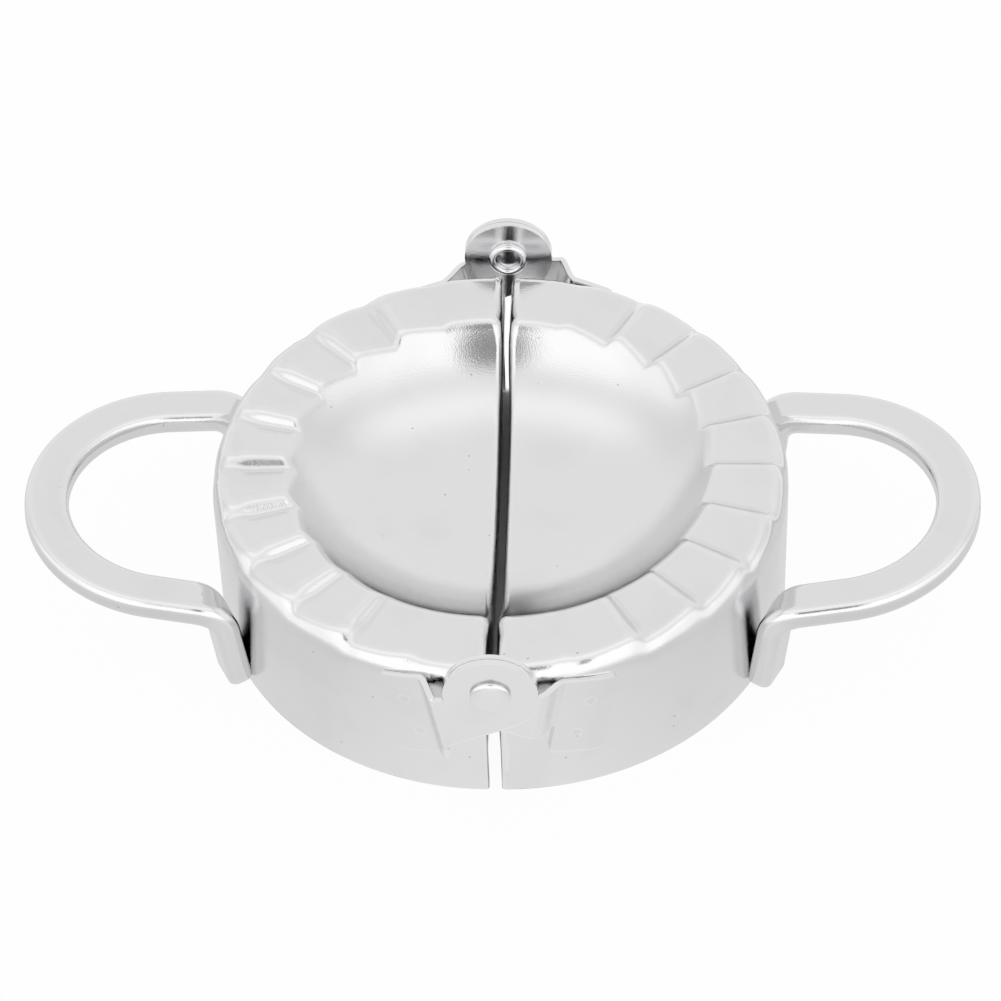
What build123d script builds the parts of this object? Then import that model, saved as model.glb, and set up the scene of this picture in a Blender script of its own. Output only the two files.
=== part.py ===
"""Empanada press: two hinged half shells with crimping rims, lying open and flat.

Millimetres. X runs across the press from handle to handle, Y runs along the hinge line
and Z is up. The origin is on the table, under the middle of the hinge line. The two
halves are the same stamping, so the left half is the right half turned half a turn
about Z.
"""
import os
from math import asin, atan2, cos, degrees, radians, sin, sqrt, tan

from build123d import *

# --- driving dimensions -----------------------------------------------------------
sheet_t = 0.6            # thickness of the shell's sheet steel
half_gap = 1.0           # from the hinge line to each half's straight wall
shell_r = 46.5           # outside radius of the round skirt, about the shell's centre
rim_z = 28.0             # height of the crimping rim's middle surface
corner_r = 1.5           # upright corner between the straight wall and the skirt
shoulder_r = 2.8         # rounding from the skirt over to the rim
lip_r = 1.8              # rounding from the bowl over to the straight wall
flange_z = 9.0           # lower edge of the straight wall, above the cutting edge

bowl_r = 34.0            # bowl radius at the rim's height
bowl_depth = 15.0        # from the rim down to the middle of the bowl
bowl_edge_r = 3.0        # rounding from the bowl up to the rim

crimp_pitch = 15.0       # degrees from one crimp step to the next
crimp_steps = 11         # steps round each half
crimp_rise = 1.5         # height of one step, where it is full
end_crimp_rise = 0.5     # height of the steps next to the hinges
step_half_turn = 1.1     # degrees from a step's ridge, or its valley, to its middle
crimp_r = 40.0           # radius at which the rise is measured

hinge_lift = 0.3         # hinge line above the rim, half of the gap left for dough
ear_r = 7.5              # round ear of a hinge plate
ear_drop = 0.9           # how much longer than round the ear is, downwards
plate_t = 0.9            # thickness of a hinge plate
ear_stand = 2.8          # clear space between the skirt and the inner ear
ear_play = 0.08          # running clearance between the two ears
bend_clearance = 0.4     # from the ear's edge to the start of the bend
bend_run = 2.4           # how far the bend runs sideways to reach the skirt

tab_x = 13.7             # middle of the tab, from the hinge line
tab_drop = 11.0          # middle of the tab, under the hinge line
tab_w = 8.0              # width of the tab
tab_h = 16.9             # height of the tab
tab_lean = 10.0          # degrees that the tab's sides lean out towards the top
tab_corner_r = 1.0       # corners of the tab
web_slope = 23.0         # degrees that the web's lower edge falls towards the tab
web_low_x = 6.6          # where that edge ends
web_top_drop = 1.7       # top edge of the web, under the hinge line
weld_ball_r = 0.8        # ball that presses a weld dimple
weld_depth = 0.2         # depth of a weld dimple
weld_spread = 7.0        # between the two weld dimples of a tab

rivet_r = 2.5            # shank of the rivet
rivet_head_r = 3.5       # domed head
rivet_head_h = 1.3       # height of the head
rivet_bore_r = 1.95      # hollow end of the rivet
rivet_bore_end = 0.9     # how far the hollow reaches past the inner ear's face
rivet_tail_r = 3.25      # rolled-out end of the rivet
rivet_tail_h = 1.2       # how far the rolled end stands behind the ears
rivet_tail_edge = 0.4    # chamfer round the rolled end
pivot_play = 0.05        # radial running clearance of a turning ear on its rivet

handle_w = 7.3           # width of the flattened handle rod
handle_t = 4.2           # thickness of the handle rod
handle_edge_r = 1.9      # rounding of the rod's sides
handle_r = 21.5          # radius of the handle's bow, to the middle of the rod
handle_reach = 79.3      # from the hinge line to the tip of the handle
handle_z = 18.1          # height of the bow's centre, middle of the rod
handle_tilt = 4.2        # degrees that the handle rises outwards
leg_splay = 0.34         # how much further from the middle a leg's foot stands than the bow
leg_lean = 6.5           # degrees that the leg leans in towards the skirt
leg_bend_r = 5.0         # bend from the handle down into its leg, to the middle of the rod
leg_foot_z = 1.0         # foot of the leg above the cutting edge
leg_seat = 0.5           # depth to which the foot is dressed to lie on the skirt
foot_edge_r = 1.0        # rounding of the leg's foot

# --- places that follow from them ---------------------------------------------------
over = 2.0               # how far a cutting body reaches past what it cuts
hinge_z = rim_z + hinge_lift
rim_top_z = rim_z + crimp_rise / 2 * shell_r / crimp_r
shell_axis = Axis((half_gap, 0, 0), (0, 0, 1))
bowl_ball_r = (bowl_r**2 + bowl_depth**2) / (2 * bowl_depth)
bowl_ball_z = rim_z - bowl_depth + bowl_ball_r
inner_ear_y = -(shell_r + ear_stand)
outer_ear_y = inner_ear_y - plate_t - ear_play
tab_mid_r = shell_r + plate_t / 2

os.makedirs("parts", exist_ok=True)


def turned(part):
    """The same piece, turned half a turn about Z onto the other half of the press."""
    return part.rotate(Axis.Z, 180)


def across(part):
    """The piece mirrored from the right half to the left half."""
    return part.mirror(Plane.YZ)


def keep_piece(piece, name):
    """Label the finished piece and write it out under the same name."""
    piece.label = name
    export_step(piece, f"parts/{name}.step")


# --- shells: a bowl, a rim of crimps round it, and a skirt whose foot cuts the dough ---
def crimp_profile():
    """Angle and height of each ridge and valley of the rim, round the right half."""
    first = -crimp_pitch * (crimp_steps - 1) / 2
    points = [(first - 1.5 * crimp_pitch, 0)]
    for step in range(crimp_steps):
        at_hinge = step in (0, crimp_steps - 1)
        rise = end_crimp_rise if at_hinge else crimp_rise
        angle = first + step * crimp_pitch
        points += [(angle - step_half_turn, rise / 2), (angle + step_half_turn, -rise / 2)]
    points.append((-points[0][0], 0))
    return points


def crimp_cutter(start, end, low, high, inset):
    """Body above one slope of the rim, from low at its start angle to high at its end.

    The slope is a plane through the shell's axis. The body is made with its start on the
    X axis and then turned to its place.
    """
    turn = radians(end - start)
    start_way = Vector(crimp_r, 0, low)
    end_way = Vector(crimp_r * cos(turn), crimp_r * sin(turn), high)
    inner_r = bowl_r - over
    outer_r = shell_r + over
    with BuildPart() as cutter:
        with BuildSketch(Plane.XZ):
            with Locations((half_gap + (inner_r + outer_r) / 2, rim_z + over / 2)):
                Rectangle(outer_r - inner_r, crimp_rise + inset + 3 * over)
        revolve(axis=shell_axis, revolution_arc=end - start)
        split(bisect_by=Plane((half_gap, 0, rim_z - inset), z_dir=start_way.cross(end_way)),
              keep=Keep.TOP)
    return cutter.part.rotate(shell_axis, start)


def bowl_cutter(inset):
    """Body that fills the bowl, with its rounded edge to the rim and to the straight wall."""
    edge_z = rim_top_z - bowl_edge_r
    edge_rise = bowl_ball_z - edge_z
    edge_at = sqrt((bowl_ball_r + bowl_edge_r) ** 2 - edge_rise**2)
    lean = degrees(atan2(edge_at, edge_rise))
    lip_z = bowl_ball_z - bowl_ball_r - lip_r
    with BuildPart() as cutter:
        with BuildSketch(Plane.XZ):
            with BuildLine():
                ball = CenterArc((half_gap, bowl_ball_z), bowl_ball_r + inset, -90, lean)
                edge = CenterArc((half_gap + edge_at, edge_z), bowl_edge_r - inset,
                                 90 + lean, -lean)
                Polyline(
                    edge @ 1,
                    (half_gap + shell_r, rim_top_z - inset),
                    (half_gap + shell_r, rim_top_z + 2 * over),
                    (half_gap, rim_top_z + 2 * over),
                    ball @ 0,
                )
            make_face()
        revolve(axis=shell_axis)
        with BuildSketch(Plane.XZ):
            with BuildLine():
                lip = CenterArc((half_gap + lip_r, lip_z), lip_r - inset, 90, 90)
                Polyline(
                    lip @ 1,
                    (half_gap - over, lip_z),
                    (half_gap - over, lip_z + 2 * lip_r),
                    (half_gap + lip_r, lip_z + 2 * lip_r),
                    lip @ 0,
                )
            make_face()
        revolve(axis=Axis((0, 0, bowl_ball_z), (1, 0, 0)))
    return cutter.part


def half_form(inset, floor_z):
    """Solid shape of the right half, with its whole surface moved in by the inset."""
    outer_r = shell_r - inset
    shoulder_at = half_gap + shell_r - shoulder_r
    with BuildPart() as form:
        with BuildSketch(Plane.XY.offset(floor_z)):
            with Locations((half_gap, 0)):
                Circle(outer_r)
            with Locations((half_gap + inset + shell_r, 0)):
                Rectangle(2 * shell_r, 2 * shell_r, mode=Mode.INTERSECT)
        extrude(amount=rim_top_z + over - floor_z)
        fillet(form.edges().filter_by(Axis.Z), corner_r - inset)
        with BuildSketch(Plane.XZ):
            with BuildLine():
                shoulder = CenterArc((shoulder_at, rim_top_z - shoulder_r),
                                     shoulder_r - inset, 0, 90)
                Polyline(
                    shoulder @ 1,
                    (half_gap, rim_top_z - inset),
                    (half_gap, floor_z - over),
                    (half_gap + outer_r, floor_z - over),
                    shoulder @ 0,
                )
            make_face()
        revolve(axis=shell_axis, mode=Mode.INTERSECT)
        add(bowl_cutter(inset), mode=Mode.SUBTRACT)

        points = crimp_profile()
        for (start, low), (end, high) in zip(points, points[1:]):
            add(crimp_cutter(start, end, low, high, inset), mode=Mode.SUBTRACT)

    return form.part


shell_inside = half_form(sheet_t, -over)

with BuildPart() as right_shell:
    add(half_form(0, 0))
    add(shell_inside, mode=Mode.SUBTRACT)
    with BuildSketch(Plane.YZ):
        with Locations((0, flange_z / 2)):
            Rectangle(2 * (shell_r - corner_r - sheet_t), flange_z)
    extrude(amount=half_gap + 2 * sheet_t, mode=Mode.SUBTRACT)
keep_piece(right_shell.part, "right_shell")

with BuildPart() as left_shell:
    add(turned(right_shell.part))
keep_piece(left_shell.part, "left_shell")


# --- hinge plates: a tab welded to the skirt, a bent web and a round ear ----------------
def skirt_point(x, radius):
    """Point of the front right skirt, at x and at a radius about the shell's centre."""
    return Vector(x, -sqrt(radius**2 - (x - half_gap) ** 2), 0)


def skirt_angle(x):
    """Angle of the tab's middle surface at x, about the shell's centre."""
    point = skirt_point(x, tab_mid_r)
    return degrees(atan2(point.Y, point.X - half_gap))


def hinge_plate(ear_y, hole_r):
    """Plate of the front right. ear_y is the ear's face nearest to the shells.

    A strip is laid along the skirt and the ear's plane, and the plate's outline is cut
    out of it.
    """
    bend_x = ear_r + bend_clearance
    far_angle = skirt_angle(tab_x + tab_h)
    near_angle = skirt_angle(bend_x + bend_run)
    fall = radians(web_slope)
    web_low_z = hinge_z - ear_drop - ear_r / cos(fall) - web_low_x * tan(fall)
    with BuildPart() as plate:
        with BuildSketch():
            with BuildLine():
                along_skirt = CenterArc((half_gap, 0), tab_mid_r, far_angle,
                                        near_angle - far_angle)
                bend = Line(along_skirt @ 1, (bend_x, ear_y - plate_t / 2))
                Line(bend @ 1, (-ear_r - over, ear_y - plate_t / 2))
            trace(line_width=plate_t)
        extrude(amount=hinge_z + ear_r + over)
        with BuildSketch(Plane.XZ):
            with Locations((0, hinge_z), (0, hinge_z - ear_drop)):
                Circle(ear_r)
            with Locations(Location((tab_x, hinge_z - tab_drop), -tab_lean)):
                RectangleRounded(tab_w, tab_h, tab_corner_r)
            with BuildLine():
                Polyline(
                    (-ear_r * sin(fall), hinge_z - ear_drop - ear_r * cos(fall)),
                    (web_low_x, web_low_z),
                    (tab_x, web_low_z),
                    (tab_x, hinge_z - web_top_drop),
                    (0, hinge_z - web_top_drop),
                    close=True,
                )
            make_face()
        extrude(amount=-ear_y + 2 * plate_t, mode=Mode.INTERSECT)
        with BuildSketch(Plane.XZ):
            with Locations((0, hinge_z)):
                Circle(hole_r)
        extrude(amount=-ear_y + 2 * plate_t, mode=Mode.SUBTRACT)
        for side in (-1, 1):
            weld = Vector(0, 0, side * weld_spread / 2).rotate(Axis.Y, tab_lean)
            spot = skirt_point(tab_x + weld.X, shell_r + plate_t + weld_ball_r - weld_depth)
            with Locations(spot + Vector(0, 0, hinge_z - tab_drop + weld.Z)):
                Sphere(weld_ball_r, mode=Mode.SUBTRACT)
    return plate.part


# In front the left half's ear is the outer one, and at the back the right half's. The
# right half's ears turn on the rivets, and the left half's ears grip them.
turning_r = rivet_r + pivot_play

with BuildPart() as front_left_hinge_plate:
    add(across(hinge_plate(outer_ear_y, rivet_r)))
keep_piece(front_left_hinge_plate.part, "front_left_hinge_plate")

with BuildPart() as front_right_hinge_plate:
    add(hinge_plate(inner_ear_y, turning_r))
keep_piece(front_right_hinge_plate.part, "front_right_hinge_plate")

with BuildPart() as back_left_hinge_plate:
    add(turned(hinge_plate(inner_ear_y, rivet_r)))
keep_piece(back_left_hinge_plate.part, "back_left_hinge_plate")

with BuildPart() as back_right_hinge_plate:
    add(turned(across(hinge_plate(outer_ear_y, turning_r))))
keep_piece(back_right_hinge_plate.part, "back_right_hinge_plate")


# --- rivets: a domed head outside, a shank through both ears, a rolled hollow end inside ---
def rivet(head_play):
    """Front rivet, with some play under its head or, when that is 0, at its rolled end."""
    head_y = -outer_ear_y + plate_t + head_play
    tail_y = -inner_ear_y - ear_play + head_play
    end_y = tail_y - rivet_tail_h
    bore_end_y = tail_y + rivet_bore_end
    dome_r = (rivet_head_r**2 + rivet_head_h**2) / (2 * rivet_head_h)
    dome_angle = degrees(asin(rivet_head_r / dome_r))
    with BuildPart() as body:
        with BuildSketch():
            with BuildLine():
                dome = CenterArc((0, head_y + rivet_head_h - dome_r), dome_r, 90, -dome_angle)
                Polyline(
                    dome @ 1,
                    (rivet_r, head_y),
                    (rivet_r, tail_y),
                    (rivet_tail_r, tail_y),
                    (rivet_tail_r, end_y + rivet_tail_edge),
                    (rivet_tail_r - rivet_tail_edge, end_y),
                    (rivet_bore_r, end_y),
                    (rivet_bore_r, bore_end_y),
                    (0, bore_end_y),
                    dome @ 0,
                )
            make_face()
        revolve(axis=Axis.Y)
    return body.part.mirror(Plane.XZ).moved(Location((0, 0, hinge_z)))


with BuildPart() as front_rivet:
    add(rivet(0))
keep_piece(front_rivet.part, "front_rivet")

with BuildPart() as back_rivet:
    add(turned(rivet(ear_play)))
keep_piece(back_rivet.part, "back_rivet")


# --- handles: one flattened rod, bowed outside and bent down to two welded legs ----------
foot_line_r = shell_r + (handle_t / 2) / cos(radians(leg_lean)) - leg_seat
leg_angle = degrees(asin((handle_r + leg_splay) / foot_line_r))
skirt_way = Vector(cos(radians(leg_angle)), -sin(radians(leg_angle)), 0)
leg_width_way = Vector(0, 1, 0).rotate(Axis.Z, -leg_angle)
leg_way = Vector(0, 0, 1) * cos(radians(leg_lean)) + skirt_way * sin(radians(leg_lean))

tilt = radians(handle_tilt)
bow_centre = Vector(handle_reach - handle_w / 2 - handle_r * cos(tilt), 0, handle_z)
bow_plane = Plane(bow_centre, x_dir=(cos(tilt), 0, sin(tilt)), z_dir=(-sin(tilt), 0, cos(tilt)))

# The leg's middle line runs up from the foot until it meets the plane of the bow.
foot = Vector(half_gap, 0, leg_foot_z) + skirt_way * foot_line_r
leg_run = (bow_centre - foot).dot(bow_plane.z_dir) / leg_way.dot(bow_plane.z_dir)
leg_top = foot + leg_way * leg_run

# The rod's side runs from there and meets the bow as its tangent.
side_start = bow_plane.to_local_coords(leg_top)
side_angle = (atan2(-side_start.Y, -side_start.X)
              - asin(handle_r / sqrt(side_start.X**2 + side_start.Y**2)))
bow_start = bow_plane.from_local_coords((handle_r * sin(side_angle), -handle_r * cos(side_angle), 0))
bow_end = Vector(bow_start.X, -bow_start.Y, bow_start.Z)
bow_tip = bow_plane.from_local_coords((handle_r, 0, 0))
side_way = (bow_start - leg_top).normalized()


def rod_section(point, way, width_way):
    """Section of the handle rod at a point, square to its way."""
    with BuildSketch(Plane(point, x_dir=width_way, z_dir=way)) as section:
        RectangleRounded(handle_w, handle_t, handle_edge_r)
    return section.sketch


with BuildLine() as side_line:
    FilletPolyline(foot, leg_top, bow_start, radius=leg_bend_r)
leg_line = side_line.edges().sort_by(Axis.Z)[0]
bend_start = leg_line @ 1

with BuildPart() as right_handle:
    add(rod_section(foot, leg_way, leg_width_way))
    add(rod_section(bend_start, leg_way, leg_width_way))
    add(rod_section(bow_start, side_way, bow_plane.z_dir.cross(side_way)))
    sweep(path=side_line.wire(), multisection=True)
    fillet(right_handle.faces().sort_by(Axis.Z)[0].edges(), foot_edge_r)
    mirror(about=Plane.XZ)
    with BuildLine() as bow_line:
        ThreePointArc(bow_start, bow_tip, bow_end)
    add(rod_section(bow_start, side_way, bow_plane.z_dir.cross(side_way)))
    sweep(path=bow_line.wire())
    with BuildSketch():
        with Locations((half_gap, 0)):
            Circle(shell_r)
    extrude(amount=rim_z, mode=Mode.SUBTRACT)
keep_piece(right_handle.part, "right_handle")

with BuildPart() as left_handle:
    add(turned(right_handle.part))
keep_piece(left_handle.part, "left_handle")
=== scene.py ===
import bmesh
import bpy
import numpy as np
from mathutils import Matrix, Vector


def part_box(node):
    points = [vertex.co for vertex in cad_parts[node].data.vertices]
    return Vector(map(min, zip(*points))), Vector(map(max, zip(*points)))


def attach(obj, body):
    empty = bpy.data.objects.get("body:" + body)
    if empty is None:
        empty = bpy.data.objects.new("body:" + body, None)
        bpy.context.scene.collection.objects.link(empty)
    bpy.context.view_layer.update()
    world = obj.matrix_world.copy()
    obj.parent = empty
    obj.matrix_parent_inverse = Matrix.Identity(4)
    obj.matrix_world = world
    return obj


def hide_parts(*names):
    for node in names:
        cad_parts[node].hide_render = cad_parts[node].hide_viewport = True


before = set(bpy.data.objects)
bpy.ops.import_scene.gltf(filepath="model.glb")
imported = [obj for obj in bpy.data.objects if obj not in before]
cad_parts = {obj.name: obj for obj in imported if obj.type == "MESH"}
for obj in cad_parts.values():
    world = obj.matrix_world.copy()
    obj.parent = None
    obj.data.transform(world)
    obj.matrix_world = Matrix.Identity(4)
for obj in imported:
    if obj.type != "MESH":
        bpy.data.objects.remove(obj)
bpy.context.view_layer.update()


# --- Shells -------------------------------------------------------------------------
# Two half shells pressed from 0.6 mm stainless sheet: a half bowl, a rim of crimps that
# folds the dough, and a skirt whose foot cuts it. The left one is the right one turned
# half a turn about the upright axis. The sheet keeps the fine satin grain of the mill.
mm = 0.001
shell_low, shell_high = (np.array(corner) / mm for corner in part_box("right_shell"))
half_gap = shell_low[0]
shell_r = shell_high[0] - half_gap
sheet_t = 0.6
rim_z = 28.0
corner_r = 0.6           # upright corner between the straight wall and the skirt
shoulder_r = 2.8         # rounding from the rim down to the skirt
shoulder_steep = 1.4     # how much further it reaches down than out
lip_r = 1.2              # rounding from the bowl down to the straight wall
edge_lip_r = 2.4         # the same rounding where the bowl runs out into the rim
wall_belly = 0.32        # how much nearer the straight walls stand in their middle
wall_pinch = 0.42        # the same towards their ends, below the rim
rim_fade = 0.35          # share of a crimp's height that is lost before the shoulder
shoulder_fade = 0.8      # share of the rest that is lost down the shoulder
scallop = 0.5            # how much earlier the rim falls off beside a crimp
scallop_turn = 5.0       # degrees on each side of a crimp over which it does
scallop_from_r = 36.0    # radius at which that sets in
scallop_end = 82.0       # degrees from the middle, past which the rim isn't scalloped
edge_lip_at = 36.5       # distance from the middle at which the lip is roundest
edge_lip_spread = 2.6    # how far to each side of that the larger rounding reaches
belly_end = 40.0         # distance from the middle at which the straight walls stand plain
pinch_foot = (12, 20)    # heights between which the pinch sets in
pinch_top = 24.0         # height from which it goes again, up to the rim
pinch_y = (20, 32)       # distances from the middle between which it sets in
wall_reach = 8.0         # how far from the straight wall the sheet follows it
seam_r = shell_r - shoulder_r                    # where the top's last row lies
seam_end_y = np.sqrt(seam_r**2 - lip_r**2)       # where that row meets the lip
flange_z = 9.0           # foot of the straight wall
bowl_r = 34.0
bowl_depth = 13.5
bowl_floor_bend = 0.00492            # how fast the bowl's floor curves up, per millimetre
bowl_wall_bend = (bowl_depth - bowl_floor_bend * bowl_r**2) / bowl_r**4
bowl_edge_soft = 1.3     # height over which the bowl and the rim run into each other
crimp_pitch = 15.0       # degrees from one crimp to the next
crimp_count = 11
crimp_rise = 1.9         # drop at a crimp, at the radius below
crimp_r = 40.0
end_crimp_rise = 0.5     # drop of the last crimp on each side of the hinge line
crimp_half_turn = 1.35   # half the width of a crimp's steep face, in degrees
crest_soft = 1.35        # half width of the rounding over a crimp's crest, in degrees
valley_soft = 0.9        # half width of the rounding in its valley, in degrees

# Where the points of the pressing stand closest, and how many there are.
crimp_columns = 24       # columns of points from one crimp to the next
column_crowding = 0.76   # how much closer they stand at a crimp, from 0 to under 1
bowl_edge_y = (31, 37.5)         # rows stand closest between these, where the bowl ends
squeeze_from = 78.0      # degrees past which an outer row's columns are drawn in to fit
squeeze_r = (20, 30)     # inside these radii all of a row's columns are drawn in evenly
arc_share = np.linspace(0, 1, 10)[:, None]       # share of the quarter turn, in each row
settled_by = 0.75        # share of it after which the crimps have settled into the skirt
wall_rows = np.array([0.03, 0.12, 0.35, 0.68, 0.97, 1])[:, None]    # way down the wall
foot_rows = np.array([0.5, 0.035, 0])[:, None]   # and on down, in heights of its foot


def crimp_height(angle):
    """Height of the rim at each angle: a zigzag of straight slopes, whose corners are
    rounded by parabolas that touch the slopes on both sides."""
    steps = (np.arange(crimp_count) - (crimp_count - 1) / 2) * crimp_pitch
    rise = np.full(crimp_count, crimp_rise)
    rise[[0, -1]] = end_crimp_rise
    far = steps[-1] + 1.5 * crimp_pitch
    corner_at = np.stack([steps - crimp_half_turn, steps + crimp_half_turn], 1).ravel()
    corner_z = np.stack([rise / 2, -rise / 2], 1).ravel()
    line_at = np.concatenate([[-far], corner_at, [far]])
    line_z = np.concatenate([[0], corner_z, [0]])
    bend = np.diff(np.diff(line_z) / np.diff(line_at))
    soft = np.tile([crest_soft, valley_soft], crimp_count)
    away = np.clip(angle[..., None] - corner_at, -soft, soft)
    rounding = bend * ((away + soft)**2 / (4 * soft) - np.maximum(away, 0))
    return np.interp(angle, line_at, line_z) + rounding.sum(-1)


def smooth_min(a, b, soft):
    """The lower of two heights, with the corner between them rounded by a parabola."""
    share = np.clip(0.5 + 0.5 * (b - a) / soft, 0, 1)
    return b + (a - b) * share - soft * share * (1 - share)


def smooth_step(low, high, x):
    """Rises from 0 at low to 1 at high, and is level at both ends."""
    t = np.clip((x - low) / (high - low), 0, 1)
    return t * t * (3 - 2 * t)


def top_height(radius, angle):
    """Height of the pressing's top: the lower of the crimped rim and the bowl, with a soft
    edge between them. The bowl rises with the square and the fourth power of the radius,
    which gives it a flat floor and a steep wall."""
    fade = 1 - rim_fade * smooth_step(crimp_r, seam_r, radius)
    rim = rim_z + crimp_height(angle) * fade * radius / crimp_r
    bowl = rim_z - bowl_depth + bowl_floor_bend * radius**2 + bowl_wall_bend * radius**4
    return smooth_min(rim, bowl, bowl_edge_soft)


def grid_faces(rows, columns, first=0):
    """The four corners of each cell of a grid of points that is stored row by row."""
    at = first + np.arange(rows * columns).reshape(rows, columns)
    return np.stack([at[:-1, :-1], at[:-1, 1:], at[1:, 1:], at[1:, :-1]], -1).reshape(-1, 4)


def mark_bends(mesh):
    """Stores at each point how far its edges fall away from the surface on the whole: above
    0 on outside corners, below 0 in inside ones, and 1 along a cut edge."""
    points, normals = np.empty((2, 3 * len(mesh.vertices)))
    mesh.vertices.foreach_get("co", points)
    mesh.vertex_normals.foreach_get("vector", normals)
    ends = np.empty(2 * len(mesh.edges), int)
    mesh.edges.foreach_get("vertices", ends)
    sides = np.empty(len(mesh.loops), int)
    mesh.loops.foreach_get("edge_index", sides)
    ends = ends.reshape(-1, 2)
    near, other = np.concatenate([ends, ends[:, ::-1]]).T
    way = points.reshape(-1, 3)[other] - points.reshape(-1, 3)[near]
    fall = -(way * normals.reshape(-1, 3)[near]).sum(1) / np.linalg.norm(way, axis=1)
    bend = np.bincount(near, fall) / np.bincount(near)
    bend[ends[np.bincount(sides) == 1]] = 1
    mesh.attributes.new("bend", "FLOAT", "POINT").data.foreach_set("value", bend)


meeting = 2e-4           # points nearer than this are one


def mesh_piece(name, points, faces):
    """A smooth-shaded object from points in millimetres, with points that meet merged."""
    used, corners = np.unique(faces, return_inverse=True)
    mesh = bpy.data.meshes.new(name)
    mesh.from_pydata((points[used] * mm).tolist(), [], corners.reshape(faces.shape).tolist())
    work = bmesh.new()
    work.from_mesh(mesh)
    bmesh.ops.remove_doubles(work, verts=work.verts, dist=meeting * mm)
    work.to_mesh(mesh)
    work.free()
    mesh.shade_smooth()
    mark_bends(mesh)
    piece = bpy.data.objects.new(name, mesh)
    bpy.context.scene.collection.objects.link(piece)
    return piece


def shell_top():
    """The pressing's top as rows of equal radius about the shell's centre and columns of
    equal angle, crowded at the crimps and cut off along the lip, with the lip's rounding and
    the slope of the lip's line in each row."""
    sectors = crimp_count + 1
    turns = np.linspace(0, sectors, sectors * crimp_columns + 1)
    crowd = column_crowding * np.sin(2 * np.pi * turns) / (2 * np.pi)
    angle = -90 + crimp_pitch * (turns - crowd)
    row_y = np.concatenate([np.linspace(0, bowl_edge_y[0], 32),
                            np.linspace(*bowl_edge_y, 27)[1:],
                            np.linspace(bowl_edge_y[1], seam_end_y, 9)[1:]])
    row_r = np.hypot(row_y, lip_r)[:, None]
    widest = np.degrees(np.arccos(lip_r / row_r))
    drawn_in = smooth_step(squeeze_from, 90, abs(angle)) * (90 - widest)
    squeezed = angle - np.sign(angle) * drawn_in
    outer_share = smooth_step(*squeeze_r, row_r)
    column = outer_share * squeezed + (1 - outer_share) * angle * widest / 90
    from_crimp = abs((column + crimp_pitch / 2) % crimp_pitch - crimp_pitch / 2)
    beside = (1 - smooth_step(0, scallop_turn, from_crimp)) * (abs(column) < scallop_end)
    outer = np.clip((row_r - scallop_from_r) / (seam_r - scallop_from_r), 0, 1)
    row_r = row_r - scallop * beside * outer
    level = top_height(row_r + 0 * column, column)
    end_r = row_r[:, -1:]
    climb = np.hypot(1, np.gradient(level[:, -1:], end_r[:, 0], axis=0))
    at_edge = np.exp(-((end_r - edge_lip_at) / edge_lip_spread)**2)
    lip = lip_r + (edge_lip_r - lip_r) * at_edge
    from_wall = np.minimum(row_r * np.cos(np.radians(column)), lip)
    height = level - climb * (lip - np.sqrt(lip**2 - (lip - from_wall)**2))
    top = np.stack([half_gap + row_r * np.cos(np.radians(column)),
                    row_r * np.sin(np.radians(column)), height], -1)
    return top, lip, climb


def upright_corner():
    """Corner between the skirt and the straight wall, seen from above, with two points on
    the wall, and how far along the wall the opening under it reaches."""
    corner_y = np.sqrt((shell_r - corner_r)**2 - corner_r**2)
    turn = np.linspace(np.arctan2(corner_y, corner_r), np.pi, 10)
    bend = np.stack([half_gap + corner_r * (1 + np.cos(turn)),
                     corner_y + corner_r * np.sin(turn)], -1)
    notch_y = shell_r - corner_r - sheet_t
    wall_end = [[half_gap, notch_y], [half_gap, (notch_y + seam_end_y) / 2]]
    return np.concatenate([bend, wall_end]), notch_y


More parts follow.
